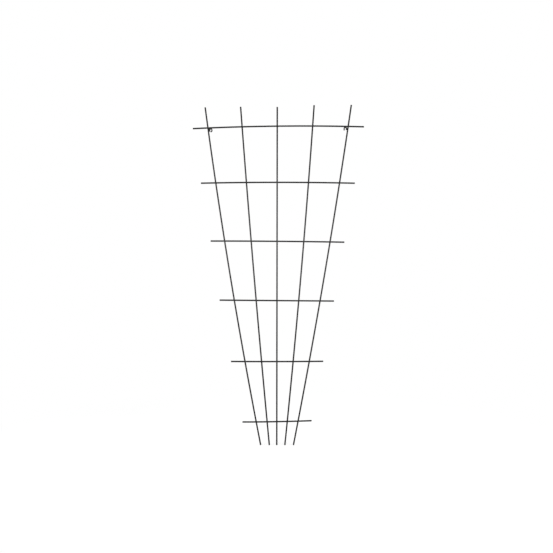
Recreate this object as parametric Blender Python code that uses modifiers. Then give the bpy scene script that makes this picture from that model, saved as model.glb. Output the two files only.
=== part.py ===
"""A fan trellis of round steel rod, welded and coated black.

Five uprights spread from a narrow foot to a wide top. Six crossbars lie behind them and
are welded to every upright they pass. Two small eyes of bent wire sit in the upper corners,
for hanging the trellis on a wall.

Metres. +X is right and +Z is up, as seen from the front, and the front faces -Y. The
origin is the centre of the centre upright's cut foot.
"""

import math
from collections import namedtuple

import bmesh
import bpy
from mathutils import Matrix, Vector

# Overall size: the mean height of the tips, and the top crossbar from end to end
HEIGHT = 1.500
WIDTH = 0.759

# Rod stock and how closely the pieces lie
ROD_DIAMETER = 0.007
EYE_WIRE_DIAMETER = 0.0056
SEAT_GAP = 0.0003

# The even fan: neighbouring uprights are this far apart at the ground, and the bow widens
# every gap at half height
FOOT_SPACING = 0.0362
UPRIGHT_BOW = 0.0048

# Each upright, from left to right: its name, how far it stands to the right of its place in
# the even fan at the ground, at half height and at the top crossbar, and how far its tip
# stands above the mean height
UPRIGHT_SIDES = ("outer_left", "inner_left", "centre", "inner_right", "outer_right")
FOOT_SHIFTS = (0.0013, 0.0034, 0.0, -0.0004, 0.0014)
MIDDLE_SHIFTS = (0.0025, 0.0039, 0.0011, 0.0025, 0.0021)
TOP_SHIFTS = (0.0052, 0.0019, 0.0022, 0.0036, 0.0056)
TIP_LIFTS = (-0.0051, -0.0025, -0.0031, 0.0048, 0.0058)

# The crossbars. The lowest lies this far above the ground, and the tips stand this far
# above the top one. The overhangs are what the lowest and the top crossbar reach past the
# outer uprights, and those between reach in proportion.
FOOT_RISE = 0.1023
TIP_RISE = 0.0864
FOOT_OVERHANG = 0.0615
TOP_OVERHANG = 0.0685

# Each crossbar, from the ground up: how far it lies above an even spacing, how far its
# middle rises above its ends, how many degrees it climbs to the right, how far it sits to
# the right of the middle, and how much shorter it is at each end
CROSSBAR_LIFTS = (0.0, 0.0043, 0.0127, 0.0135, 0.0129, 0.0)
CROSSBAR_RISES = (-0.0014, -0.0009, 0.0, 0.0013, 0.0038, 0.0071)
CROSSBAR_TILTS = (1.07, 0.12, -0.46, -0.48, 0.0, 0.62)
CROSSBAR_SHIFTS = (0.0, 0.0, -0.002, 0.0004, 0.001, 0.002)
CROSSBAR_TRIMS = (0.0, 0.0, 0.0, 0.0022, 0.0, 0.0)

# Weld metal
COLLAR_REACH = 0.0024
COLLAR_HALF_THICKNESS = 0.0026
EYE_WELD_HALF_LENGTH = 0.0034
EYE_WELD_HALF_WIDTH = 0.0026
EYE_WELD_HALF_THICKNESS = 0.0020

# The hanging eyes. The radius of their bends runs to the middle of the wire.
EYE_RADIUS = 0.0053

# Cut ends of rod and wire
ROD_RIM = 0.0006
WIRE_RIM = 0.0004

# Fineness of the round shapes
ROD_SEGMENTS = 12
ROD_BEVEL = 6
EYE_STEP = 15
EYE_BEVEL = 3
WELD_COLUMNS = 14
WELD_ROWS = 8
RIM_SEGMENTS = 2
RIM_ANGLE = math.radians(50)
SHADE_SHARP_ANGLE = math.radians(40)
CROSSING_ROUNDS = 20
SLOPE_STEP = 0.0015

# The eyes: the end of the top crossbar each sits near, how far its wire runs up along the
# upright before it bends over, how far it comes straight down, and how many degrees it
# then bends back under
Eye = namedtuple("Eye", "side end foot drop curl")
EYES = (
    Eye("left", -1, 0.0060, 0.0020, 100),
    Eye("right", 1, 0.0056, 0.0080, 0),
)

# Sizes that follow from the ones above
OUTERMOST = (len(UPRIGHT_SIDES) - 1) / 2
ROD_RADIUS = ROD_DIAMETER / 2
WIRE_RADIUS = EYE_WIRE_DIAMETER / 2
BAR_PLANE_Y = ROD_DIAMETER + SEAT_GAP
SEAT_Y = BAR_PLANE_Y / 2
TOP_BAR_HEIGHT = HEIGHT - TIP_RISE
TOP_SPACING = (WIDTH / 2 - TOP_OVERHANG) / OUTERMOST
EYE_REACH = EYE_RADIUS + math.sqrt((ROD_RADIUS + WIRE_RADIUS + SEAT_GAP) ** 2 - SEAT_Y**2)

# Colour and roughness of the coat, on rod and wire and on weld metal
ROD_COAT = ("#1d1d1c", 0.42)
WELD_COAT = ("#191918", 0.55)

Upright = namedtuple("Upright", "name side place foot_shift middle_shift top_shift tip_height")
Crossbar = namedtuple("Crossbar", "name share height rise slope shift trim")


def plan_uprights():
    """The uprights from left to right. place is 0 for the one in the centre."""
    uprights = []
    for number, side in enumerate(UPRIGHT_SIDES):
        shifts = (FOOT_SHIFTS[number], MIDDLE_SHIFTS[number], TOP_SHIFTS[number])
        tip_height = HEIGHT + TIP_LIFTS[number]
        uprights.append(Upright("upright_" + side, side, number - OUTERMOST, *shifts, tip_height))
    return uprights


def plan_crossbars():
    """The crossbars from the ground up. share runs from 0 at the lowest to 1 at the top,
    and height is where the crossbar passes x = 0."""
    bars = []
    for number, lift in enumerate(CROSSBAR_LIFTS):
        share = number / (len(CROSSBAR_LIFTS) - 1)
        height = FOOT_RISE + (TOP_BAR_HEIGHT - FOOT_RISE) * share + lift
        slope = math.tan(math.radians(CROSSBAR_TILTS[number]))
        shape = (CROSSBAR_RISES[number], slope, CROSSBAR_SHIFTS[number], CROSSBAR_TRIMS[number])
        bars.append(Crossbar(f"crossbar_{number + 1}", share, height, *shape))
    return bars


UPRIGHTS = plan_uprights()
CROSSBARS = plan_crossbars()
TOP_BAR = CROSSBARS[-1]


def upright_x(upright, z):
    """Centreline of an upright at height z. The shift is the parabola through its three."""
    t = z / TOP_BAR_HEIGHT
    spacing = FOOT_SPACING + (TOP_SPACING - FOOT_SPACING) * t + UPRIGHT_BOW * 4 * t * (1 - t)
    shift = (
        upright.foot_shift * (1 - t) * (1 - 2 * t)
        + upright.middle_shift * 4 * t * (1 - t)
        + upright.top_shift * t * (2 * t - 1)
    )
    return upright.place * spacing + shift


def upright_direction(upright, z):
    run = upright_x(upright, z + SLOPE_STEP) - upright_x(upright, z - SLOPE_STEP)
    return Vector((run, 0, 2 * SLOPE_STEP)).normalized()


def bar_ends(bar):
    """x of a crossbar's left and right end."""
    overhang = FOOT_OVERHANG + (TOP_OVERHANG - FOOT_OVERHANG) * bar.share - bar.trim
    left = upright_x(UPRIGHTS[0], bar.height) - overhang + bar.shift
    right = upright_x(UPRIGHTS[-1], bar.height) + overhang + bar.shift
    return left, right


def bar_z(bar, x):
    """Centreline of a crossbar at this x."""
    left, right = bar_ends(bar)
    from_middle = (2 * x - left - right) / (right - left)
    return bar.height + x * bar.slope - bar.rise * from_middle**2


def bar_direction(bar, x):
    climb = bar_z(bar, x + SLOPE_STEP) - bar_z(bar, x - SLOPE_STEP)
    return Vector((2 * SLOPE_STEP, 0, climb)).normalized()


def crossing(bar, upright):
    """(x, z) where an upright passes a crossbar, as seen from the front."""
    x = 0.0
    z = bar.height
    for _ in range(CROSSING_ROUNDS):
        x = upright_x(upright, z)
        z = bar_z(bar, x)
    return x, z


def clear_scene():
    for old in list(bpy.data.objects):
        bpy.data.objects.remove(old)


def collection(name, shown=True):
    made = bpy.data.collections.new(name)
    made.hide_render = not shown
    bpy.context.scene.collection.children.link(made)
    return made


def linear_colour(hex_colour):
    """Linear RGBA of an sRGB colour written as #rrggbb."""
    channels = [int(hex_colour[i : i + 2], 16) / 255 for i in (1, 3, 5)]
    return [c / 12.92 if c <= 0.04045 else ((c + 0.055) / 1.055) ** 2.4 for c in channels] + [1]


def coated_steel(name, hex_colour, roughness):
    material = bpy.data.materials.new(name)
    material.use_nodes = True
    shader = material.node_tree.nodes["Principled BSDF"]
    shader.inputs["Base Color"].default_value = linear_colour(hex_colour)
    shader.inputs["Roughness"].default_value = roughness
    shader.inputs["Metallic"].default_value = 0.0
    return material


def bent_rod(name, points, radius, bevel, home):
    """A mesh of round rod along these points, with its cut ends closed."""
    path = bpy.data.curves.new(name, "CURVE")
    path.dimensions = "3D"
    path.bevel_depth = radius
    path.bevel_resolution = bevel
    path.use_fill_caps = True
    spline = path.splines.new("POLY")
    spline.points.add(len(points) - 1)
    for point, place in zip(spline.points, points):
        point.co = (*place, 1)
    guide = bpy.data.objects.new(name, path)
    home.objects.link(guide)
    graph = bpy.context.evaluated_depsgraph_get()
    mesh = bpy.data.meshes.new_from_object(guide.evaluated_get(graph))
    bpy.data.objects.remove(guide)
    close_caps(mesh, radius / 100)
    mesh.name = name
    rod = bpy.data.objects.new(name, mesh)
    home.objects.link(rod)
    return rod


def close_caps(mesh, distance):
    work = bmesh.new()
    work.from_mesh(mesh)
    bmesh.ops.remove_doubles(work, verts=work.verts, dist=distance)
    bmesh.ops.recalc_face_normals(work, faces=work.faces)
    work.to_mesh(mesh)
    work.free()


def round_ends(rod, width):
    rims = rod.modifiers.new("rounded rims", "BEVEL")
    rims.width = width
    rims.segments = RIM_SEGMENTS
    rims.limit_method = "ANGLE"
    rims.angle_limit = RIM_ANGLE


def smooth(piece, material):
    piece.data.materials.clear()
    piece.data.materials.append(material)
    piece.data.shade_smooth()
    piece.data.set_sharp_from_angle(angle=SHADE_SHARP_ANGLE)


def upright_points(upright):
    """Points up an upright. Its lowest corner meets the ground."""
    lean = upright_direction(upright, 0)
    foot = ROD_RADIUS * abs(lean.x)
    length = upright.tip_height - foot
    heights = [foot + length * i / ROD_SEGMENTS for i in range(ROD_SEGMENTS + 1)]
    return [(upright_x(upright, z), 0, z) for z in heights]


def bar_points(bar):
    left, right = bar_ends(bar)
    xs = [left + (right - left) * i / ROD_SEGMENTS for i in range(ROD_SEGMENTS + 1)]
    return [(x, BAR_PLANE_Y, bar_z(bar, x)) for x in xs]


def eye_corner(eye):
    """Where the top crossbar passes the eye's upright, and the upright's direction there."""
    upright = UPRIGHTS[-1] if eye.end > 0 else UPRIGHTS[0]
    x, z = crossing(TOP_BAR, upright)
    return upright, x, z, upright_direction(upright, z)


def eye_centre(eye):
    """The middle of the upper bend, as far from the upright as from the top crossbar."""
    upright, x, z, along = eye_corner(eye)
    inward = bar_direction(TOP_BAR, x) * -eye.end
    slant = abs(inward.cross(along).y)
    return Vector((x, SEAT_Y, z)) + (inward - along) * (EYE_REACH / slant)


def bend(middle, eye, first, last):
    """Points round a bend of the wire, in degrees from the side that faces the other eye."""
    steps = math.ceil((first - last) / EYE_STEP)
    points = []
    for i in range(steps + 1):
        angle = math.radians(first + (last - first) * i / max(steps, 1))
        points.append(middle + EYE_RADIUS * Vector((-eye.end * math.cos(angle), 0, math.sin(angle))))
    return points


def eye_points(eye):
    """Points along the wire: up the upright, over, straight down and back under."""
    centre = eye_centre(eye)
    along = eye_corner(eye)[-1]
    lean = math.degrees(math.asin(abs(along.x)))
    over = bend(centre, eye, 180 + lean, 0)
    under = bend(centre - Vector((0, 0, eye.drop)), eye, 0, -eye.curl)
    return [over[0] - along * eye.foot] + over + under


def weld_metal(name, centre, axes, half_sizes, home):
    """A flattened ball with half sizes along the three axes given."""
    work = bmesh.new()
    bmesh.ops.create_uvsphere(work, u_segments=WELD_COLUMNS, v_segments=WELD_ROWS, radius=1)
    turn = Matrix(axes).transposed().to_4x4()
    shape = Matrix.Diagonal((*half_sizes, 1))
    bmesh.ops.transform(work, matrix=turn @ shape, verts=work.verts)
    mesh = bpy.data.meshes.new(name)
    work.to_mesh(mesh)
    work.free()
    weld = bpy.data.objects.new(name, mesh)
    weld.location = centre
    home.objects.link(weld)
    return weld


def cut_by(weld, cutters):
    """Leaves only the metal outside the pieces that the weld joins."""
    for cutter in cutters:
        cut = weld.modifiers.new("seat of " + cutter.name, "BOOLEAN")
        cut.operation = "DIFFERENCE"
        cut.solver = "EXACT"
        cut.object = cutter


def make_uprights(parts, coat):
    for upright in UPRIGHTS:
        rod = bent_rod(upright.name, upright_points(upright), ROD_RADIUS, ROD_BEVEL, parts)
        round_ends(rod, ROD_RIM)
        smooth(rod, coat)


def make_crossbars(parts, coat):
    for bar in CROSSBARS:
        rod = bent_rod(bar.name, bar_points(bar), ROD_RADIUS, ROD_BEVEL, parts)
        round_ends(rod, ROD_RIM)
        smooth(rod, coat)


def make_eyes(parts, coat):
    for eye in EYES:
        name = "hanging_eye_" + eye.side
        ring = bent_rod(name, eye_points(eye), WIRE_RADIUS, EYE_BEVEL, parts)
        round_ends(ring, WIRE_RIM)
        smooth(ring, coat)


def make_cutters(cutters):
    """Each rod and eye with the seat gap round it, keyed by its name."""
    grown = {}
    radius = ROD_RADIUS + SEAT_GAP
    for upright in UPRIGHTS:
        points = upright_points(upright)
        grown[upright.name] = bent_rod("seat_" + upright.name, points, radius, ROD_BEVEL, cutters)
    for bar in CROSSBARS:
        grown[bar.name] = bent_rod("seat_" + bar.name, bar_points(bar), radius, ROD_BEVEL, cutters)
    for eye in EYES:
        name = "hanging_eye_" + eye.side
        radius = WIRE_RADIUS + SEAT_GAP
        grown[name] = bent_rod("seat_" + name, eye_points(eye), radius, EYE_BEVEL, cutters)
    for cutter in grown.values():
        cutter.hide_render = True
        cutter.display_type = "WIRE"
    return grown


def make_crossing_welds(parts, grown, coat):
    """A collar of weld metal round each place where an upright meets a crossbar."""
    half_width = ROD_RADIUS + COLLAR_REACH
    half_sizes = (half_width, half_width, COLLAR_HALF_THICKNESS)
    for number, bar in enumerate(CROSSBARS, 1):
        for upright in UPRIGHTS:
            x, z = crossing(bar, upright)
            along = upright_direction(upright, z)
            normal = Vector((0, 1, 0))
            axes = (along, normal.cross(along), normal)
            name = f"weld_{number}_{upright.side}"
            weld = weld_metal(name, (x, SEAT_Y, z), axes, half_sizes, parts)
            cut_by(weld, (grown[upright.name], grown[bar.name]))
            smooth(weld, coat)


def make_eye_weld(name, on_wire, on_rod, direction, cutters, parts, coat):
    """A bead between the middle line of an eye's wire and that of a rod."""
    on_rod = on_rod + direction * (on_wire - on_rod).dot(direction)
    normal = (on_wire - on_rod).normalized()
    seat = on_rod + normal * (ROD_RADIUS + SEAT_GAP / 2)
    axes = (direction, normal.cross(direction), normal)
    half_sizes = (EYE_WELD_HALF_LENGTH, EYE_WELD_HALF_WIDTH, EYE_WELD_HALF_THICKNESS)
    weld = weld_metal(name, seat, axes, half_sizes, parts)
    cut_by(weld, cutters)
    smooth(weld, coat)


def make_eye_welds(parts, grown, coat):
    """Each eye is welded where its wire leaves the upright and where it meets the crossbar."""
    for eye in EYES:
        upright, x, z, along = eye_corner(eye)
        ring = grown["hanging_eye_" + eye.side]
        shoulder = eye_points(eye)[1]
        name = f"eye_weld_{eye.side}_upright"
        corner = Vector((x, 0, z))
        cutters = (grown[upright.name], ring)
        make_eye_weld(name, shoulder, corner, along, cutters, parts, coat)

        level = bar_direction(TOP_BAR, x)
        top = eye_centre(eye) + EYE_RADIUS * Vector((-level.z, 0, level.x))
        name = f"eye_weld_{eye.side}_crossbar"
        corner = Vector((x, BAR_PLANE_Y, z))
        cutters = (grown[TOP_BAR.name], ring)
        make_eye_weld(name, top, corner, level, cutters, parts, coat)


def main():
    clear_scene()
    parts = collection("fan_trellis")
    cutters = collection("cutters", shown=False)
    rod_coat = coated_steel("black coat on rod", *ROD_COAT)
    weld_coat = coated_steel("black coat on weld", *WELD_COAT)
    make_uprights(parts, rod_coat)
    make_crossbars(parts, rod_coat)
    make_eyes(parts, rod_coat)
    grown = make_cutters(cutters)
    make_crossing_welds(parts, grown, weld_coat)
    make_eye_welds(parts, grown, weld_coat)


main()
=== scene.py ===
"""A fan trellis of welded steel rod under a satin black powder coat, dressed for a studio photograph.

Metres. +X is right and +Z is up, as the camera sees it, and the front faces -Y.
"""

import math
from collections import namedtuple

import bpy
import numpy as np
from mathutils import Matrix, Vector


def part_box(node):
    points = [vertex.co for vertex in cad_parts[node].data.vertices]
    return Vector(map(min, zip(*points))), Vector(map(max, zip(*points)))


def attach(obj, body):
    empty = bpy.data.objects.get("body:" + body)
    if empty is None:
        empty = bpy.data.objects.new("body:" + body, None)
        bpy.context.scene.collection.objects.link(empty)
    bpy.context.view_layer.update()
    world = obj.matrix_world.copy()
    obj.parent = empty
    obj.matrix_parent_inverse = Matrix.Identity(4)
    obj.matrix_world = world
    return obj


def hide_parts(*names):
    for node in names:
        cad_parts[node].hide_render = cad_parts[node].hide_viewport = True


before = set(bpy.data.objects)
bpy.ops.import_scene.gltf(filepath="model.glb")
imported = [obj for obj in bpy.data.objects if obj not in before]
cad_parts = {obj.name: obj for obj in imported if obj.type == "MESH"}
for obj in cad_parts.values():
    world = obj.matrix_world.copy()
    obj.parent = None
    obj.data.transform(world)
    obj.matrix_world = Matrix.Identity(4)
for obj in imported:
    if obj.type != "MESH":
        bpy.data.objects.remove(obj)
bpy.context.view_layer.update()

MM = 0.001
BODY = "root"

# Reading the CAD rods. Their corners are rounded to a thousandth of a millimetre. Rings of
# points along a rod are farther apart than RING_GAP, and a bent rod is a parabola.
CORNER_DECIMALS = 6
RING_GAP = 5.0 * MM
BENT_DEGREE = 2

# Rods and wire. A cut end has a crowned face within a rounded rim, and the innermost ring of
# the face is END_CENTRE_SHARE of the radius.
ROD_SIDES = 32
WIRE_SIDES = 28
RING_SPACING = 2.0 * MM
WIRE_RING_SPACING = 0.35 * MM
ROD_RIM = 0.6 * MM
WIRE_RIM = 0.4 * MM
RIM_RINGS = 6
END_CROWN = 0.12 * MM
CROWN_RINGS = 5
END_CENTRE_SHARE = 0.05

# Each eye: how far its wire runs up along the upright before it bends over, how far it
# comes straight down, and how many degrees it then bends back under
EYE_SHAPES = {
    "hanging_eye_left": (6.0 * MM, 2.0 * MM, 100),
    "hanging_eye_right": (5.6 * MM, 8.0 * MM, 0),
}

# Real relief under the coat: the soft waves of drawn rod, and the roughness of a shear cut,
# which fades out over CUT_LENGTH
WAVE_DEPTH = 0.05 * MM
WIRE_WAVE_DEPTH = 0.025 * MM
WAVE_SIZE = 3.0 * MM
CUT_DEPTH = 0.06 * MM
CUT_SIZE = 1.1 * MM
CUT_LENGTH = 0.8 * MM

# Welds. A fillet fills the corner between two pieces, and starts to run out at RUN_OUT_START
# of the weld's reach. FILLET_SHARE of it comes off two distances where they are the same, as
# in a smooth minimum.
CROSSING_FILLET = 6.0 * MM
CROSSING_REACH = 7.2 * MM
# Each eye weld: its fillet, its reach, and how far its middle lies up the rod, or to the
# right, from the middle of its CAD node. The left eye's weld fills the corner under the
# crossbar.
EYE_WELDS = {
    "eye_weld_left_upright": (8.0 * MM, 6.6 * MM, 3.0 * MM),
    "eye_weld_left_crossbar": (5.0 * MM, 5.6 * MM, -1.0 * MM),
    "eye_weld_right_upright": (2.4 * MM, 4.2 * MM, 0.0),
    "eye_weld_right_crossbar": (2.4 * MM, 4.2 * MM, 0.0),
}
RUN_OUT_START = 0.5
FILLET_SHARE = 0.25
WELD_INSET = 0.07 * MM
RIPPLE_HEIGHT = 0.28 * MM
RIPPLE_SIZE = 1.9 * MM
FIRST_EYE_WELD_SEED = 100

# Weld metal is meshed from a block of voxels. Their density is 1 from a band's width inside
# its surface, SURFACE_DENSITY on it, and 0 from a band's width outside.
WELD_BAND = 0.8 * MM
WELD_VOXELS = 52
SURFACE_DENSITY = 0.5

# The coats: the darker and the lighter colour of their film, and their roughness
ROD_COAT = ("#0b0b0a", "#121211", 0.22)
WELD_COAT = ("#0b0b0a", "#111110", 0.32)

# What the coats share. A range gives the noise values between which a pattern goes from
# nothing to full.
COAT_IOR = 1.5
COAT_GLOSS = 0.2
ROUGHNESS_SWING = 0.1
FILM_PATCH = 24 * MM
FILM_RANGE = (0.35, 0.65)
ORANGE_PEEL = 1.5 * MM
ORANGE_PEEL_HEIGHT = 0.03 * MM
# The real grain is about 0.05 mm, too fine to show even close up, so it is drawn five times
# as coarse.
POWDER_GRAIN = 0.25 * MM
GRAIN_SHARE = 0.15

# Scuffs from handling
SCUFF_WIDTH = 0.5 * MM
SCUFF_LENGTH = 9 * MM
SCUFF_RANGE = (0.62, 0.72)
SCUFF_STRENGTH = 0.35
SCUFF_ROUGHENING = 0.3
SCUFF_GREY = "#3b3a37"

# Specks of thin coat on a cut end, in full up to FULL_SPECKS from the end and none from
# NO_SPECKS on
SPECK_SIZE = 0.5 * MM
SPECK_RANGE = (0.5, 0.62)
FULL_SPECKS = 0.15 * MM
NO_SPECKS = 0.9 * MM
SPECK_ROUGHENING = 0.2
SPECK_BROWN = "#5a4636"

# The colour sockets of a Mix node: its inputs A and B, and its result
MIX_A = 6
MIX_B = 7
MIX_RESULT = 2

# The studio. Where it is seen, the floor glows by FLOOR_LIFT. It keeps the shadow out to
# SHADOW_RADIUS, and is plain white from twice that. AMBIENT is the world's light on the
# trellis. Each softbox: its name, place, width, watts, and the point that it faces
FLOOR_WHITE = "#f4f4f4"
FLOOR_ROUGHNESS = 0.9
FLOOR_LIFT = 0.58
FLOOR_RADIUS = 30.0
FLOOR_SIDES = 96
SHADOW_RADIUS = 0.7
AMBIENT = 0.15
SOFTBOXES = (
    ("left softbox", (-2.3, -2.1, 1.05), 1.2, 55.0, (0, 0, 0.9)),
    ("right softbox", (2.3, -2.1, 1.05), 1.2, 55.0, (0, 0, 0.9)),
    ("rear softbox", (0.6, 2.8, 2.4), 1.6, 24.0, (0, 0, 0.8)),
)

# The camera, level and square on to the trellis. METRES_PER_PIXEL holds at the uprights.
IMAGE_PIXELS = 553
METRES_PER_PIXEL = 0.00442685
SENSOR_WIDTH = 36.0
CAMERA_DISTANCE = 3.0
CAMERA_X = -0.0011
CAMERA_HEIGHT = 0.7464


def linear(hex_colour):
    """Linear RGBA of an sRGB colour written as #rrggbb."""
    channels = [int(hex_colour[i : i + 2], 16) / 255 for i in (1, 3, 5)]
    return [c / 12.92 if c <= 0.04045 else ((c + 0.055) / 1.055) ** 2.4 for c in channels] + [1]


def add_node(tree, kind, settings=None, inputs=None):
    """Adds a node, sets its settings, and fills or links its inputs. A node given as an input
    stands for its first output."""
    node = tree.nodes.new(kind)
    for setting, value in (settings or {}).items():
        setattr(node, setting, value)
    for socket, value in (inputs or {}).items():
        if isinstance(value, bpy.types.Node):
            value = value.outputs[0]
        if isinstance(value, bpy.types.NodeSocket):
            tree.links.new(value, node.inputs[socket])
        else:
            node.inputs[socket].default_value = value
    return node


# Reading the rods and eyes from the frame

# A rod's middle line: the axis it runs along, where it starts and ends on that axis, the
# parabola of its other coordinate in X and Z, its depth in Y, and its radius
Rod = namedtuple("Rod", "axis low high parabola depth radius")
# An eye, which lies in an XZ plane: the middle and radius of its upper bend, its wire's
# radius, the end of the top crossbar it sits near, the direction of its foot, and its shape
Eye = namedtuple("Eye", "centre bend_radius wire_radius end along foot drop curl")


def corners(node):
    """The corners of a CAD node's mesh, each once."""
    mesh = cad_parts[node].data
    points = np.zeros(len(mesh.vertices) * 3, np.float32)
    mesh.vertices.foreach_get("co", points)
    return np.unique(np.round(points.reshape(-1, 3).astype(float), CORNER_DECIMALS), axis=0)


def read_rod(node):
    """A rod from its node's rings of points. Its middle line goes through their middles, and
    its ends are as far out as its outermost points. A straight rod has two rings."""
    points = corners(node)
    axis = int(np.argmax(np.ptp(points, axis=0)))
    points = points[np.argsort(points[:, axis])]
    breaks = np.flatnonzero(np.diff(points[:, axis]) > RING_GAP) + 1
    middles = np.array([ring.mean(axis=0) for ring in np.split(points, breaks)])
    degree = min(BENT_DEGREE, len(middles) - 1)
    parabola = np.polyfit(middles[:, axis], middles[:, 2 - axis], degree)
    depth = middles[:, 1].mean()
    radius = np.ptp(points[:, 1]) / 2
    rod = Rod(axis, middles[0, axis], middles[-1, axis], parabola, depth, radius)
    ends = []
    for place, side in ((rod.low, -1), (rod.high, 1)):
        outward = rod_direction(rod, place) * side
        base = rod_point(rod, place)
        reach = ((points - np.array(base)) @ np.array(outward)).max()
        ends.append(place + reach * outward[axis])
    return rod._replace(low=ends[0], high=ends[1])


def rod_point(rod, place):
    """The point of the middle line at this place on the rod's axis."""
    point = [0.0, rod.depth, 0.0]
    point[rod.axis] = place
    point[2 - rod.axis] = np.polyval(rod.parabola, place)
    return Vector(point)


def rod_direction(rod, place):
    direction = [0.0, 0.0, 0.0]
    direction[rod.axis] = 1.0
    direction[2 - rod.axis] = np.polyval(np.polyder(rod.parabola), place)
    return Vector(direction).normalized()


def read_eye(node, upright):
    """An eye from its node's box: the upper bend spans its width and lies at its top."""
    low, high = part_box(node)
    wire_radius = (high.y - low.y) / 2
    bend_radius = (high.x - low.x) / 2 - wire_radius
    centre = (low + high) / 2
    centre.z = high.z - bend_radius - wire_radius
    end = math.copysign(1, centre.x)
    along = rod_direction(upright, centre.z)
    return Eye(centre, bend_radius, wire_radius, end, along, *EYE_SHAPES[node])


def eye_path(eye):
    """Points a degree apart along the middle of an eye's wire, from its foot to its free end."""

    def bend(drop, first, last):
        angles = np.radians(np.linspace(first, last, 1 + round(first - last)))
        return [
            eye.centre + Vector((
                -eye.end * eye.bend_radius * math.cos(angle),
                0,
                eye.bend_radius * math.sin(angle) - drop,
            ))
            for angle in angles
        ]

    lean = math.degrees(math.asin(abs(eye.along.x)))
    over = bend(0, 180 + lean, 0)
    under = bend(eye.drop, 0, -eye.curl)
    return [over[0] - eye.along * eye.foot] + over + under


# Guides: the middle line of each rod and wire as a curve, with rings close together at the
# cut ends


def end_rings(radius, rim):
    """(depth, share of the radius) of the rings that round a cut end, from its centre out."""
    flat_share = 1 - rim / radius
    rings = []
    for i in range(CROWN_RINGS):
        share = END_CENTRE_SHARE + (flat_share - END_CENTRE_SHARE) * i / CROWN_RINGS
        rings.append((END_CROWN * (share / flat_share) ** 2, share))
    for i in range(RIM_RINGS + 1):
        turn = math.pi / 2 * i / RIM_RINGS
        depth = END_CROWN + rim * (1 - math.cos(turn))
        rings.append((depth, flat_share + (1 - flat_share) * math.sin(turn)))
    return rings


def ring_places(length, radius, rim, spacing):
    """(distance along the rod, share of the radius) of every ring, end to end."""
    first = end_rings(radius, rim)
    last = [(length - depth, share) for depth, share in reversed(first)]
    start = first[-1][0]
    stretch = length - 2 * start
    count = max(2, round(stretch / spacing))
    middle = [(start + stretch * i / count, 1.0) for i in range(1, count)]
    return first + middle + last


def guide_curve(name, points, shares):
    """A curve through these points, with each ring's share of the radius as its radius."""
    path = bpy.data.curves.new(name, "CURVE")
    path.dimensions = "3D"
    spline = path.splines.new("POLY")
    spline.points.add(len(points) - 1)
    for knot, point, share in zip(spline.points, points, shares):
        knot.co = (*point, 1)
        knot.radius = share
    guide = bpy.data.objects.new(name, path)
    bpy.context.scene.collection.objects.link(guide)
    return guide


def rod_guide(name, rod):
    length = (rod_point(rod, rod.high) - rod_point(rod, rod.low)).length
    places = ring_places(length, rod.radius, ROD_RIM, RING_SPACING)
    points = [rod_point(rod, rod.low + (rod.high - rod.low) * s / length) for s, _ in places]
    return guide_curve(name, points, [share for _, share in places])


def eye_guide(name, eye):
    path = np.array(eye_path(eye))
    steps = np.linalg.norm(np.diff(path, axis=0), axis=1)
    walked = np.concatenate([[0.0], np.cumsum(steps)])
    places = ring_places(walked[-1], eye.wire_radius, WIRE_RIM, WIRE_RING_SPACING)
    distances = [distance for distance, _ in places]
    points = np.column_stack([np.interp(distances, walked, path[:, i]) for i in range(3)])
    return guide_curve(name, points.tolist(), [share for _, share in places])


# Geometry trees


def new_tree(name, sockets):
    """A geometry tree with named inputs, and the sockets that give them in the tree."""
    tree = bpy.data.node_groups.new(name, "GeometryNodeTree")
    tree.interface.new_socket("Geometry", in_out="OUTPUT", socket_type="NodeSocketGeometry")
    for label, kind in sockets.items():
        tree.interface.new_socket(label, in_out="INPUT", socket_type="NodeSocket" + kind)
    return tree, add_node(tree, "NodeGroupInput").outputs


def finish_tree(tree, mesh, coat):
    smooth = add_node(tree, "GeometryNodeSetShadeSmooth", None, {"Geometry": mesh})
    coated = add_node(tree, "GeometryNodeSetMaterial", None, {"Geometry": smooth, "Material": coat})
    whole = add_node(tree, "GeometryNodeRealizeInstances", None, {"Geometry": coated})
    add_node(tree, "NodeGroupOutput", None, {"Geometry": whole})


def measured_guide(tree, given):
    """The guide. It keeps how far along it each ring lies, its own whole length, and each
    ring's share of the radius."""
    measures = {
        "along": add_node(tree, "GeometryNodeSplineParameter").outputs["Length"],
        "length": add_node(tree, "GeometryNodeSplineLength").outputs["Length"],
        "share": add_node(tree, "GeometryNodeInputRadius").outputs["Radius"],
    }
    guide = add_node(tree, "GeometryNodeCaptureAttribute")
    for label in measures:
        guide.capture_items.new("FLOAT", label)
    tree.links.new(given["Geometry"], guide.inputs["Geometry"])
    for label, measure in measures.items():
        tree.links.new(measure, guide.inputs[label])
    return guide


def round_section(tree, given):
    """The rod's round section. It keeps the place of each of its points, as round."""
    circle = add_node(tree, "GeometryNodeCurvePrimitiveCircle", None, {
        "Resolution": given["Sides"],
        "Radius": given["Rod Radius"],
    })
    around = add_node(tree, "GeometryNodeInputPosition")
    section = add_node(tree, "GeometryNodeCaptureAttribute")
    section.capture_items.new("VECTOR", "round")
    tree.links.new(circle.outputs["Curve"], section.inputs["Geometry"])
    tree.links.new(around.outputs["Position"], section.inputs["round"])
    return section


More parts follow.
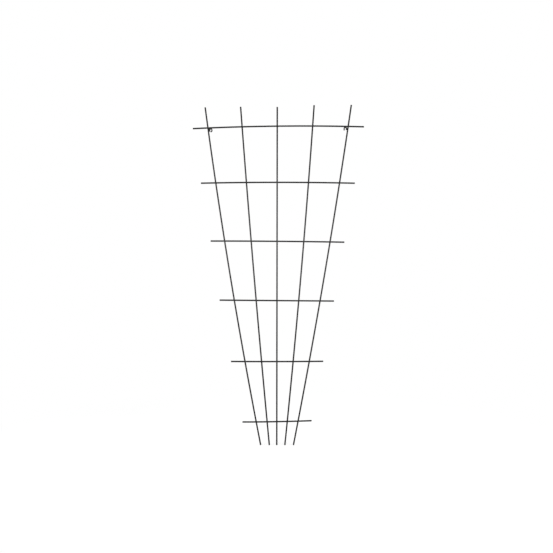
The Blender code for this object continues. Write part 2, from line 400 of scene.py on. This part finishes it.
def swept_rod(tree, given):
    """The section swept along the guide, each point's place on the rod as if it were
    straight, and its distance from the nearer end."""
    guide = measured_guide(tree, given)
    section = round_section(tree, given)
    swept = add_node(tree, "GeometryNodeCurveToMesh", None, {
        "Curve": guide,
        "Profile Curve": section,
        "Scale": guide.outputs["share"],
        "Fill Caps": True,
    })
    across = add_node(tree, "ShaderNodeVectorMath", {"operation": "SCALE"}, {
        0: section.outputs["round"],
        "Scale": guide.outputs["share"],
    })
    lengthways = add_node(tree, "ShaderNodeCombineXYZ", None, {"Z": guide.outputs["along"]})
    straight = add_node(tree, "ShaderNodeVectorMath", {"operation": "ADD"}, {
        0: across,
        1: lengthways,
    })
    remaining = add_node(tree, "ShaderNodeMath", {"operation": "SUBTRACT"}, {
        0: guide.outputs["length"],
        1: guide.outputs["along"],
    })
    from_end = add_node(tree, "ShaderNodeMath", {"operation": "MINIMUM"}, {
        0: guide.outputs["along"],
        1: remaining,
    })
    return swept, straight, from_end


def sinking(tree, at, seed, size, detail, depth):
    """How far noise of this size and depth moves each point outwards. It is never above zero,
    so that a rod stays within its radius."""
    scale = add_node(tree, "ShaderNodeMath", {"operation": "DIVIDE"}, {0: 1.0, 1: size})
    noise = add_node(tree, "ShaderNodeTexNoise", {"noise_dimensions": "4D"}, {
        "Vector": at,
        "W": seed,
        "Scale": scale,
        "Detail": detail,
    })
    below = add_node(tree, "ShaderNodeMath", {"operation": "SUBTRACT"}, {0: noise, 1: 1.0})
    return add_node(tree, "ShaderNodeMath", {"operation": "MULTIPLY"}, {0: below, 1: depth})


def coated_rod_tree():
    """A rod or wire along its guide, with its relief. It keeps two attributes for the coat:
    each point's place on the rod as if it were straight, and its distance from the nearer
    end."""
    tree, given = new_tree("coated_rod", {
        "Geometry": "Geometry",
        "Rod Radius": "Float",
        "Sides": "Int",
        "Wave Depth": "Float",
        "Wave Size": "Float",
        "Cut Depth": "Float",
        "Cut Size": "Float",
        "Cut Length": "Float",
        "Seed": "Float",
        "Coat": "Material",
    })
    swept, straight, from_end = swept_rod(tree, given)
    kept = add_node(tree, "GeometryNodeStoreNamedAttribute", {"data_type": "FLOAT_VECTOR"}, {
        "Geometry": swept,
        "Name": "straight",
        "Value": straight,
    })
    kept = add_node(tree, "GeometryNodeStoreNamedAttribute", {"data_type": "FLOAT"}, {
        "Geometry": kept,
        "Name": "from_end",
        "Value": from_end,
    })

    seed = given["Seed"]
    wave = sinking(tree, straight, seed, given["Wave Size"], 1.0, given["Wave Depth"])
    near_end = add_node(tree, "ShaderNodeMapRange", {"clamp": True}, {
        "Value": from_end,
        "From Min": 0.0,
        "From Max": given["Cut Length"],
        "To Min": given["Cut Depth"],
        "To Max": 0.0,
    })
    cut = sinking(tree, straight, seed, given["Cut Size"], 2.0, near_end)
    rise = add_node(tree, "ShaderNodeMath", {"operation": "ADD"}, {0: wave, 1: cut})
    outward = add_node(tree, "GeometryNodeInputNormal")
    offset = add_node(tree, "ShaderNodeVectorMath", {"operation": "SCALE"}, {
        0: outward,
        "Scale": rise,
    })
    uneven = add_node(tree, "GeometryNodeSetPosition", None, {"Geometry": kept, "Offset": offset})
    finish_tree(tree, uneven, given["Coat"])
    return tree


def distance_to_rod(tree, at, point, direction, radius):
    """Distance from a point of space to the surface of a straight rod."""
    away = add_node(tree, "ShaderNodeVectorMath", {"operation": "SUBTRACT"}, {0: at, 1: point})
    across = add_node(tree, "ShaderNodeVectorMath", {"operation": "CROSS_PRODUCT"}, {
        0: away,
        1: direction,
    })
    length = add_node(tree, "ShaderNodeVectorMath", {"operation": "LENGTH"}, {0: across})
    return add_node(tree, "ShaderNodeMath", {"operation": "SUBTRACT"}, {
        0: length.outputs["Value"],
        1: radius,
    })


def distance_to_wire(tree, at, shoulder, direction, radius, centre, bend_radius):
    """Distance from a point of space to the surface of an eye's wire, whose foot runs straight
    up to the shoulder and whose bend round the centre starts there, in an XZ plane."""
    above = add_node(tree, "ShaderNodeVectorMath", {"operation": "SUBTRACT"}, {
        0: at,
        1: shoulder,
    })
    climb = add_node(tree, "ShaderNodeVectorMath", {"operation": "DOT_PRODUCT"}, {
        0: above,
        1: direction,
    })
    below = add_node(tree, "ShaderNodeMath", {"operation": "MINIMUM"}, {
        0: climb.outputs["Value"],
        1: 0.0,
    })
    down = add_node(tree, "ShaderNodeVectorMath", {"operation": "SCALE"}, {
        0: direction,
        "Scale": below,
    })
    # Beside the foot, the distance is the same as it is straight above, beside the shoulder.
    lifted = add_node(tree, "ShaderNodeVectorMath", {"operation": "SUBTRACT"}, {0: at, 1: down})
    away = add_node(tree, "ShaderNodeVectorMath", {"operation": "SUBTRACT"}, {
        0: lifted,
        1: centre,
    })
    flat = add_node(tree, "ShaderNodeVectorMath", {"operation": "MULTIPLY"}, {
        0: away,
        1: (1, 0, 1),
    })
    out = add_node(tree, "ShaderNodeVectorMath", {"operation": "LENGTH"}, {0: flat})
    past = add_node(tree, "ShaderNodeMath", {"operation": "SUBTRACT"}, {
        0: out.outputs["Value"],
        1: bend_radius,
    })
    depth = add_node(tree, "ShaderNodeSeparateXYZ", None, {0: away})
    pair = add_node(tree, "ShaderNodeCombineXYZ", None, {"X": past, "Y": depth.outputs["Y"]})
    length = add_node(tree, "ShaderNodeVectorMath", {"operation": "LENGTH"}, {0: pair})
    return add_node(tree, "ShaderNodeMath", {"operation": "SUBTRACT"}, {
        0: length.outputs["Value"],
        1: radius,
    })


def fullness_of_fillet(tree, given, first, second, from_centre):
    """From 0, none, to 1, full. The fillet is full where both distances are the same, and it
    runs out to nothing towards the weld's reach."""
    unlike = add_node(tree, "ShaderNodeMath", {"operation": "SUBTRACT"}, {0: first, 1: second})
    unlike = add_node(tree, "ShaderNodeMath", {"operation": "ABSOLUTE"}, {0: unlike})
    alike = add_node(tree, "ShaderNodeMapRange", {"clamp": True}, {
        "Value": unlike,
        "From Min": 0.0,
        "From Max": given["Fillet"],
        "To Min": 1.0,
        "To Max": 0.0,
    })
    alike = add_node(tree, "ShaderNodeMath", {"operation": "MULTIPLY"}, {0: alike, 1: alike})
    start = add_node(tree, "ShaderNodeMath", {"operation": "MULTIPLY"}, {
        0: given["Reach"],
        1: RUN_OUT_START,
    })
    run_out = add_node(tree, "ShaderNodeMapRange", {"interpolation_type": "SMOOTHSTEP"}, {
        "Value": from_centre,
        "From Min": start,
        "From Max": given["Reach"],
        "To Min": 1.0,
        "To Max": 0.0,
    })
    return add_node(tree, "ShaderNodeMath", {"operation": "MULTIPLY"}, {0: alike, 1: run_out})


def ripples(tree, given, at):
    """The ripples of frozen weld metal, as far below its surface as above it."""
    scale = add_node(tree, "ShaderNodeMath", {"operation": "DIVIDE"}, {
        0: 1.0,
        1: given["Ripple Size"],
    })
    noise = add_node(tree, "ShaderNodeTexNoise", {"noise_dimensions": "4D"}, {
        "Vector": at,
        "W": given["Seed"],
        "Scale": scale,
        "Detail": 2.0,
    })
    swing = add_node(tree, "ShaderNodeMath", {"operation": "MULTIPLY_ADD"}, {
        0: noise,
        1: 2.0,
        2: -1.0,
    })
    return add_node(tree, "ShaderNodeMath", {"operation": "MULTIPLY"}, {
        0: swing,
        1: given["Ripple Height"],
    })


def metal_within(tree, given, outside):
    """A closed mesh of the surface from which the distance outside is measured."""
    bands = add_node(tree, "ShaderNodeMath", {"operation": "DIVIDE"}, {
        0: outside,
        1: given["Band"],
    })
    density = add_node(tree, "ShaderNodeMath", {"operation": "MULTIPLY_ADD", "use_clamp": True}, {
        0: bands,
        1: -SURFACE_DENSITY,
        2: SURFACE_DENSITY,
    })
    half_size = add_node(tree, "ShaderNodeMath", {"operation": "ADD"}, {
        0: given["Reach"],
        1: given["Band"],
    })
    low = add_node(tree, "ShaderNodeVectorMath", {"operation": "SUBTRACT"}, {
        0: given["Centre"],
        1: half_size,
    })
    high = add_node(tree, "ShaderNodeVectorMath", {"operation": "ADD"}, {
        0: given["Centre"],
        1: half_size,
    })
    block = add_node(tree, "GeometryNodeVolumeCube", None, {
        "Density": density,
        "Min": low,
        "Max": high,
        "Resolution X": given["Voxels"],
        "Resolution Y": given["Voxels"],
        "Resolution Z": given["Voxels"],
    })
    return add_node(tree, "GeometryNodeVolumeToMesh", None, {
        "Volume": block,
        "Threshold": SURFACE_DENSITY,
    })


def weld_tree(name, to_eye):
    """A lump of weld metal that fills the corner between two pieces and runs out onto both.
    Inside them it stays just under their surfaces."""
    sockets = {
        "Centre": "Vector",
        "First Point": "Vector",
        "First Direction": "Vector",
        "First Radius": "Float",
        "Second Point": "Vector",
        "Second Direction": "Vector",
        "Second Radius": "Float",
    }
    if to_eye:
        sockets.update({"Bend Centre": "Vector", "Bend Radius": "Float"})
    sockets.update({
        "Fillet": "Float",
        "Reach": "Float",
        "Inset": "Float",
        "Band": "Float",
        "Voxels": "Int",
        "Ripple Height": "Float",
        "Ripple Size": "Float",
        "Seed": "Float",
        "Coat": "Material",
    })
    tree, given = new_tree(name, sockets)
    at = add_node(tree, "GeometryNodeInputPosition")
    first_line = (given["First Point"], given["First Direction"], given["First Radius"])
    second_line = (given["Second Point"], given["Second Direction"], given["Second Radius"])
    first = distance_to_rod(tree, at, *first_line)
    if to_eye:
        bend = (given["Bend Centre"], given["Bend Radius"])
        second = distance_to_wire(tree, at, *second_line, *bend)
    else:
        second = distance_to_rod(tree, at, *second_line)
    from_centre = add_node(tree, "ShaderNodeVectorMath", {"operation": "DISTANCE"}, {
        0: at,
        1: given["Centre"],
    }).outputs["Value"]

    # The surface lies where the smaller distance is used up: the fillet takes from it, the
    # inset adds to it, and the ripples do either.
    fullness = fullness_of_fillet(tree, given, first, second, from_centre)
    filled = add_node(tree, "ShaderNodeMath", {"operation": "MULTIPLY"}, {
        0: fullness,
        1: given["Fillet"],
    })
    nearest = add_node(tree, "ShaderNodeMath", {"operation": "MINIMUM"}, {0: first, 1: second})
    blended = add_node(tree, "ShaderNodeMath", {"operation": "MULTIPLY_ADD"}, {
        0: filled,
        1: -FILLET_SHARE,
        2: nearest,
    })
    inset = add_node(tree, "ShaderNodeMath", {"operation": "ADD"}, {
        0: blended,
        1: given["Inset"],
    })
    uneven = add_node(tree, "ShaderNodeMath", {"operation": "MULTIPLY_ADD"}, {
        0: ripples(tree, given, at),
        1: fullness,
        2: inset,
    })
    past_reach = add_node(tree, "ShaderNodeMath", {"operation": "SUBTRACT"}, {
        0: from_centre,
        1: given["Reach"],
    })
    outside = add_node(tree, "ShaderNodeMath", {"operation": "MAXIMUM"}, {
        0: uneven,
        1: past_reach,
    })
    finish_tree(tree, metal_within(tree, given, outside), given["Coat"])
    return tree


def made_by(tree, source, values):
    """Runs a tree on an object and leaves a plain mesh object of the same name."""
    maker = source.modifiers.new(tree.name, "NODES")
    maker.node_group = tree
    for socket in tree.interface.items_tree:
        if socket.in_out == "INPUT" and socket.name in values:
            maker[socket.identifier] = values[socket.name]
    source.update_tag()
    graph = bpy.context.evaluated_depsgraph_get()
    mesh = bpy.data.meshes.new_from_object(source.evaluated_get(graph))
    # A mesh made from voxels starts with an empty material slot.
    if mesh.materials[0] is None:
        mesh.materials.pop(index=0)
    name = source.name
    bpy.data.objects.remove(source)
    mesh.name = name
    piece = bpy.data.objects.new(name, mesh)
    bpy.context.scene.collection.objects.link(piece)
    return piece


def blank(name):
    """An empty mesh object, for a tree that needs no source."""
    piece = bpy.data.objects.new(name, bpy.data.meshes.new(name))
    bpy.context.scene.collection.objects.link(piece)
    return piece


def seat(piece, node):
    """Puts a piece on the one body, and hides the CAD node in whose place it stands."""
    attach(piece, BODY)
    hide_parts(node)


# The coat


def powder_film(tree, place, dark, light):
    """How much of the lighter colour the film has, and its colour. It is a little thicker and
    deeper black in some stretches than in others."""
    noise = add_node(tree, "ShaderNodeTexNoise", None, {
        "Vector": place,
        "Scale": 1 / FILM_PATCH,
        "Detail": 3.0,
    })
    film = add_node(tree, "ShaderNodeMapRange", {"clamp": True}, {
        "Value": noise,
        "From Min": FILM_RANGE[0],
        "From Max": FILM_RANGE[1],
    })
    colour = add_node(tree, "ShaderNodeMix", {"data_type": "RGBA"}, {
        "Factor": film,
        MIX_A: linear(dark),
        MIX_B: linear(light),
    })
    return film, colour.outputs[MIX_RESULT]


def scuffed(tree, place, colour, rough):
    """The colour and roughness with short dull scuffs from handling, which run along the
    rods."""
    stretched = add_node(tree, "ShaderNodeVectorMath", {"operation": "MULTIPLY"}, {
        0: place,
        1: (1, 1, SCUFF_WIDTH / SCUFF_LENGTH),
    })
    noise = add_node(tree, "ShaderNodeTexNoise", None, {
        "Vector": stretched,
        "Scale": 1 / SCUFF_WIDTH,
        "Detail": 2.0,
    })
    scuff = add_node(tree, "ShaderNodeMapRange", {"clamp": True}, {
        "Value": noise,
        "From Min": SCUFF_RANGE[0],
        "From Max": SCUFF_RANGE[1],
        "To Max": SCUFF_STRENGTH,
    })
    colour = add_node(tree, "ShaderNodeMix", {"data_type": "RGBA"}, {
        "Factor": scuff,
        MIX_A: colour,
        MIX_B: linear(SCUFF_GREY),
    })
    rough = add_node(tree, "ShaderNodeMath", {"operation": "MULTIPLY_ADD"}, {
        0: scuff,
        1: SCUFF_ROUGHENING,
        2: rough,
    })
    return colour.outputs[MIX_RESULT], rough


def specked_at_ends(tree, place, colour, rough):
    """The colour and roughness with brown specks on the cut ends, where the powder bakes thin
    on the sharp rims and the steel shows."""
    from_end = add_node(tree, "ShaderNodeAttribute", {"attribute_name": "from_end"})
    near_end = add_node(tree, "ShaderNodeMapRange", {"clamp": True}, {
        "Value": from_end.outputs["Fac"],
        "From Min": FULL_SPECKS,
        "From Max": NO_SPECKS,
        "To Min": 1.0,
        "To Max": 0.0,
    })
    noise = add_node(tree, "ShaderNodeTexNoise", None, {
        "Vector": place,
        "Scale": 1 / SPECK_SIZE,
        "Detail": 2.0,
    })
    speck = add_node(tree, "ShaderNodeMapRange", {"clamp": True}, {
        "Value": noise,
        "From Min": SPECK_RANGE[0],
        "From Max": SPECK_RANGE[1],
    })
    thin = add_node(tree, "ShaderNodeMath", {"operation": "MULTIPLY"}, {0: near_end, 1: speck})
    colour = add_node(tree, "ShaderNodeMix", {"data_type": "RGBA"}, {
        "Factor": thin,
        MIX_A: colour,
        MIX_B: linear(SPECK_BROWN),
    })
    rough = add_node(tree, "ShaderNodeMath", {"operation": "MULTIPLY_ADD"}, {
        0: thin,
        1: SPECK_ROUGHENING,
        2: rough,
    })
    return colour.outputs[MIX_RESULT], rough


def orange_peel(tree, place):
    """Baked powder flows out to a faint orange peel, with a finer grain on it."""
    peel = add_node(tree, "ShaderNodeTexNoise", None, {
        "Vector": place,
        "Scale": 1 / ORANGE_PEEL,
        "Detail": 1.0,
    })
    grain = add_node(tree, "ShaderNodeTexNoise", None, {
        "Vector": place,
        "Scale": 1 / POWDER_GRAIN,
        "Detail": 1.0,
    })
    relief = add_node(tree, "ShaderNodeMath", {"operation": "MULTIPLY_ADD"}, {
        0: grain,
        1: GRAIN_SHARE,
        2: peel,
    })
    return add_node(tree, "ShaderNodeBump", None, {
        "Strength": 1.0,
        "Distance": ORANGE_PEEL_HEIGHT,
        "Height": relief,
    })


def powder_coat(name, follows_rod, dark, light, roughness):
    """Satin black powder coat: polyester powder, sprayed on mild steel and baked to a closed
    skin of about 0.08 mm. It gives the eye an even near-black with one soft line of light
    down each rod, which orange peel breaks up from close by."""
    material = bpy.data.materials.new(name)
    material.use_nodes = True
    tree = material.node_tree
    shader = tree.nodes["Principled BSDF"]
    shader.inputs["IOR"].default_value = COAT_IOR
    shader.inputs["Specular IOR Level"].default_value = COAT_GLOSS
    if follows_rod:
        straight = add_node(tree, "ShaderNodeAttribute", {"attribute_name": "straight"})
        place = straight.outputs["Vector"]
    else:
        place = add_node(tree, "ShaderNodeTexCoord").outputs["Object"]

    film, colour = powder_film(tree, place, dark, light)
    rough = add_node(tree, "ShaderNodeMath", {"operation": "MULTIPLY_ADD"}, {
        0: film,
        1: ROUGHNESS_SWING,
        2: roughness - ROUGHNESS_SWING / 2,
    })
    colour, rough = scuffed(tree, place, colour, rough)
    if follows_rod:
        colour, rough = specked_at_ends(tree, place, colour, rough)
    relief = orange_peel(tree, place)
    tree.links.new(colour, shader.inputs["Base Color"])
    tree.links.new(rough.outputs[0], shader.inputs["Roughness"])
    tree.links.new(relief.outputs["Normal"], shader.inputs["Normal"])
    return material


# The pieces


def swept_piece(tree, guide, radius, sides, wave_depth, seed, coat):
    """A rod or wire of this radius along its guide."""
    return made_by(tree, guide, {
        "Rod Radius": float(radius),
        "Sides": sides,
        "Wave Depth": wave_depth,
        "Wave Size": WAVE_SIZE,
        "Cut Depth": CUT_DEPTH,
        "Cut Size": CUT_SIZE,
        "Cut Length": CUT_LENGTH,
        "Seed": float(seed),
        "Coat": coat,
    })


def make_rods(rods, tree, coat):
    for seed, (node, rod) in enumerate(sorted(rods.items())):
        guide = rod_guide(node + "_rod", rod)
        piece = swept_piece(tree, guide, rod.radius, ROD_SIDES, WAVE_DEPTH, seed, coat)
        seat(piece, node)


def make_eyes(eyes, tree, coat):
    for seed, (node, eye) in enumerate(sorted(eyes.items())):
        guide = eye_guide(node + "_wire", eye)
        piece = swept_piece(tree, guide, eye.wire_radius, WIRE_SIDES, WIRE_WAVE_DEPTH, seed, coat)
        seat(piece, node)


def weld_centre(node, rod, shift=0.0):
    """The middle of a weld's CAD node, shifted this far along its first rod."""
    low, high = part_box(node)
    centre = (low + high) / 2
    return centre + rod_direction(rod, centre[rod.axis]) * shift


def rod_inputs(which, rod, centre):
    """What a weld's tree needs to know of its First or Second rod."""
    place = centre[rod.axis]
    return {
        which + " Point": rod_point(rod, place),
        which + " Direction": rod_direction(rod, place),
        which + " Radius": float(rod.radius),
    }


def make_weld(node, tree, coat, seed, corner):
    """The weld metal that stands for a CAD node. The corner it fills gives the inputs for its
    centre, its two pieces, its fillet and its reach."""
    piece = made_by(tree, blank(node + "_bead"), {
        **corner,
        "Inset": WELD_INSET,
        "Band": WELD_BAND,
        "Voxels": WELD_VOXELS,
        "Ripple Height": RIPPLE_HEIGHT,
        "Ripple Size": RIPPLE_SIZE,
        "Seed": float(seed),
        "Coat": coat,
    })
    seat(piece, node)


def make_crossing_welds(rods, coat):
    tree = weld_tree("weld_between_rods", False)
    bars = [node for node in sorted(rods) if node.startswith("crossbar_")]
    uprights = [node for node in sorted(rods) if node.startswith("upright_")]
    crossings = [(bar, upright) for bar in bars for upright in uprights]
    for seed, (bar, upright) in enumerate(crossings):
        node = f"weld_{bar.removeprefix('crossbar_')}_{upright.removeprefix('upright_')}"
        centre = weld_centre(node, rods[upright])
        make_weld(node, tree, coat, seed, {
            "Centre": centre,
            **rod_inputs("First", rods[upright], centre),
            **rod_inputs("Second", rods[bar], centre),
            "Fillet": CROSSING_FILLET,
            "Reach": CROSSING_REACH,
        })


def make_eye_welds(rods, eyes, coat):
    tree = weld_tree("weld_between_rod_and_eye", True)
    top_bar = rods[max(node for node in rods if node.startswith("crossbar_"))]
    for number, (eye_node, eye) in enumerate(sorted(eyes.items())):
        side = eye_node.removeprefix("hanging_eye_")
        wire = {
            "Second Point": eye_path(eye)[1],
            "Second Direction": eye.along,
            "Second Radius": float(eye.wire_radius),
            "Bend Centre": eye.centre,
            "Bend Radius": float(eye.bend_radius),
        }
        seats = {"upright": rods["upright_outer_" + side], "crossbar": top_bar}
        first_seed = FIRST_EYE_WELD_SEED + len(seats) * number
        for seed, (label, rod) in enumerate(seats.items(), first_seed):
            node = f"eye_weld_{side}_{label}"
            fillet, reach, shift = EYE_WELDS[node]
            centre = weld_centre(node, rod, shift)
            make_weld(node, tree, coat, seed, {
                "Centre": centre,
                **rod_inputs("First", rod, centre),
                **wire,
                "Fillet": fillet,
                "Reach": reach,
            })


# The studio


def seen_directly(tree):
    """1 for a ray that shows the background itself or its image in gloss or glass, else 0."""
    path = add_node(tree, "ShaderNodeLightPath")
    seen = add_node(tree, "ShaderNodeMath", {"operation": "MAXIMUM"}, {
        0: path.outputs["Is Camera Ray"],
        1: path.outputs["Is Glossy Ray"],
    })
    return add_node(tree, "ShaderNodeMath", {"operation": "MAXIMUM"}, {
        0: seen,
        1: path.outputs["Is Transmission Ray"],
    })


def studio_floor_paint():
    """Matt white emulsion paint, rolled on. It gives the eye an even white without gloss,
    which keeps the shadow near the trellis and shows as plain white farther out."""
    material = bpy.data.materials.new("matt_white_floor_paint")
    material.use_nodes = True
    tree = material.node_tree
    shader = tree.nodes["Principled BSDF"]
    shader.inputs["Base Color"].default_value = linear(FLOOR_WHITE)
    shader.inputs["Roughness"].default_value = FLOOR_ROUGHNESS
    shader.inputs["Specular IOR Level"].default_value = 0.0
    shader.inputs["Emission Color"].default_value = (1, 1, 1, 1)
    seen = seen_directly(tree)
    lift = add_node(tree, "ShaderNodeMath", {"operation": "MULTIPLY"}, {0: seen, 1: FLOOR_LIFT})
    tree.links.new(lift.outputs[0], shader.inputs["Emission Strength"])

    place = add_node(tree, "ShaderNodeTexCoord").outputs["Object"]
    out = add_node(tree, "ShaderNodeVectorMath", {"operation": "LENGTH"}, {0: place})
    far = add_node(tree, "ShaderNodeMapRange", {"clamp": True}, {
        "Value": out.outputs["Value"],
        "From Min": SHADOW_RADIUS,
        "From Max": 2 * SHADOW_RADIUS,
    })
    far_seen = add_node(tree, "ShaderNodeMath", {"operation": "MULTIPLY"}, {0: seen, 1: far})
    white = add_node(tree, "ShaderNodeEmission", None, {"Color": (1, 1, 1, 1), "Strength": 1.0})
    mix = add_node(tree, "ShaderNodeMixShader", None, {0: far_seen, 1: shader, 2: white})
    tree.links.new(mix.outputs[0], tree.nodes["Material Output"].inputs["Surface"])
    return material


def make_floor():
    bpy.ops.mesh.primitive_circle_add(
        vertices=FLOOR_SIDES,
        radius=FLOOR_RADIUS,
        fill_type="NGON",
    )
    floor = bpy.context.object
    floor.name = "floor"
    floor.data.materials.append(studio_floor_paint())


def make_world():
    world = bpy.data.worlds.new("white studio")
    world.use_nodes = True
    tree = world.node_tree
    background = tree.nodes["Background"]
    background.inputs["Color"].default_value = (1, 1, 1, 1)
    strength = add_node(tree, "ShaderNodeMapRange", None, {
        "Value": seen_directly(tree),
        "To Min": AMBIENT,
        "To Max": 1.0,
    })
    tree.links.new(strength.outputs[0], background.inputs["Strength"])
    bpy.context.scene.world = world


def make_softbox(name, place, width, watts, aim):
    lamp = bpy.data.lights.new(name, "AREA")
    lamp.size = width
    lamp.energy = watts
    softbox = bpy.data.objects.new(name, lamp)
    softbox.location = place
    softbox.rotation_mode = "QUATERNION"
    softbox.rotation_quaternion = (Vector(aim) - Vector(place)).to_track_quat("-Z", "Y")
    softbox.visible_camera = False
    bpy.context.scene.collection.objects.link(softbox)


def make_camera():
    lens = bpy.data.cameras.new("camera")
    lens.sensor_width = SENSOR_WIDTH
    lens.lens = SENSOR_WIDTH * CAMERA_DISTANCE / (IMAGE_PIXELS * METRES_PER_PIXEL)
    camera = bpy.data.objects.new("camera", lens)
    camera.location = (CAMERA_X, -CAMERA_DISTANCE, CAMERA_HEIGHT)
    camera.rotation_euler = (math.pi / 2, 0, 0)
    bpy.context.scene.collection.objects.link(camera)
    bpy.context.scene.camera = camera


def main():
    names = sorted(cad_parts)
    rods = {name: read_rod(name) for name in names if name.startswith(("upright_", "crossbar_"))}
    eyes = {
        name: read_eye(name, rods["upright_outer_" + name.removeprefix("hanging_eye_")])
        for name in names
        if name.startswith("hanging_eye_")
    }
    # Drawn steel rod is smooth under its powder, so the line of light on it runs unbroken.
    rod_coat = powder_coat("satin_black_powder_coat_on_rod", True, *ROD_COAT)
    # Drawn steel wire takes the same coat, and the line of light follows its bends.
    wire_coat = powder_coat("satin_black_powder_coat_on_wire", True, *ROD_COAT)
    # Weld metal freezes in ripples, over which the powder lies duller, so the light breaks
    # up into small soft spots.
    weld_coat = powder_coat("satin_black_powder_coat_on_weld", False, *WELD_COAT)
    sweep = coated_rod_tree()
    make_rods(rods, sweep, rod_coat)
    make_eyes(eyes, sweep, wire_coat)
    make_crossing_welds(rods, weld_coat)
    make_eye_welds(rods, eyes, weld_coat)
    make_floor()
    make_world()
    for softbox in SOFTBOXES:
        make_softbox(*softbox)
    make_camera()
    bpy.context.scene.view_settings.view_transform = "Standard"


main()
